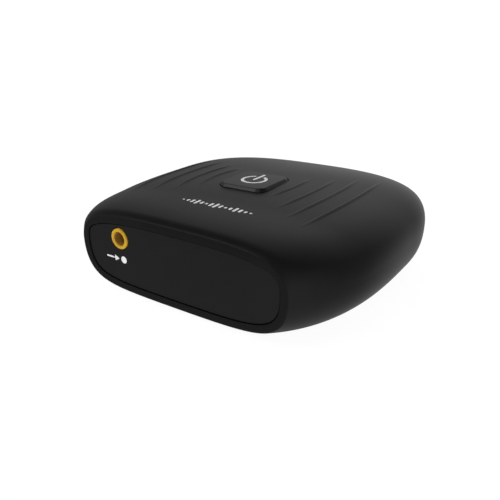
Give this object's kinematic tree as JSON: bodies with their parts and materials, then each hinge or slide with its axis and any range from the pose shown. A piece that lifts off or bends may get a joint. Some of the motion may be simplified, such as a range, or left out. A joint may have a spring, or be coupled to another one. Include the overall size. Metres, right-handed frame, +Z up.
{
  "type": "wireless audio receiver",
  "caption": "Pebble-shaped desktop wireless audio receiver with an oval front panel, a front audio jack, a sprung power button on top, and a rear audio jack and power inlet.",
  "frame": {"origin": "on the surface it stands on, under the middle of the housing", "axes": "+Z up, -Y out of the front panel, +X to the right as seen from the front"},
  "size_m": [0.088, 0.0797, 0.0269],
  "materials": {
    "casing": "black soft-touch moulded plastic",
    "panel": "black fine-textured plastic",
    "button": "black satin plastic",
    "symbol": "translucent white plastic",
    "rubber": "black rubber",
    "screw": "zinc-plated steel",
    "jack": "yellow moulded plastic",
    "contact": "plated phosphor bronze",
    "usb_metal": "nickel-plated steel",
    "insulator": "black moulded plastic",
    "board": "green solder mask",
    "wireless_board": "blue solder mask",
    "chip": "black epoxy",
    "ceramic": "white ceramic",
    "can": "drawn metal",
    "led": "clear white resin"
  },
  "bodies": {
    "casing": {"housing": "casing", "bottom_cover": "casing", "front_panel": "panel", "rear_panel": "panel", "foot_front_left": "rubber", "foot_front_right": "rubber", "foot_rear_left": "rubber", "foot_rear_right": "rubber", "case_screw_front_left": "screw", "case_screw_front_right": "screw", "case_screw_rear_left": "screw", "case_screw_rear_right": "screw", "board_screw_front_left": "screw", "board_screw_front_right": "screw", "board_screw_rear_left": "screw", "board_screw_rear_right": "screw", "switch_body": "insulator", "switch_plate": "can", "main_board": "board", "wireless_board": "wireless_board", "shield_can": "can", "chip_antenna": "ceramic", "audio_chip": "chip", "regulator_chip": "chip", "crystal": "can", "coil": "chip", "power_led": "led", "capacitor_1": "can", "capacitor_2": "can", "capacitor_3": "can", "front_jack_housing": "jack", "front_jack_sleeve_contact": "contact", "front_jack_ring_contact": "contact", "front_jack_tip_contact": "contact", "rear_jack_housing": "jack", "rear_jack_sleeve_contact": "contact", "rear_jack_ring_contact": "contact", "rear_jack_tip_contact": "contact", "usb_shell": "usb_metal", "usb_insulator": "insulator"},
    "button": {"power_button": "button", "button_light_guide": "symbol"},
    "plunger": {"switch_plunger": "insulator"}
  },
  "joints": [
    {"name": "power_button_press", "type": "slide", "parent": "casing", "child": "button", "axis": [0, 0, -1], "range_m": [0, 0.0005], "stiffness_N_per_m": 3000, "springref_m": -0.0002},
    {"name": "switch_plunger_press", "type": "slide", "parent": "casing", "child": "plunger", "axis": [0, 0, -1], "range_m": [0, 0.0005]}
  ],
  "couplings": [
    {"joint": "switch_plunger_press", "follows": "power_button_press", "ratio": 1}
  ]
}
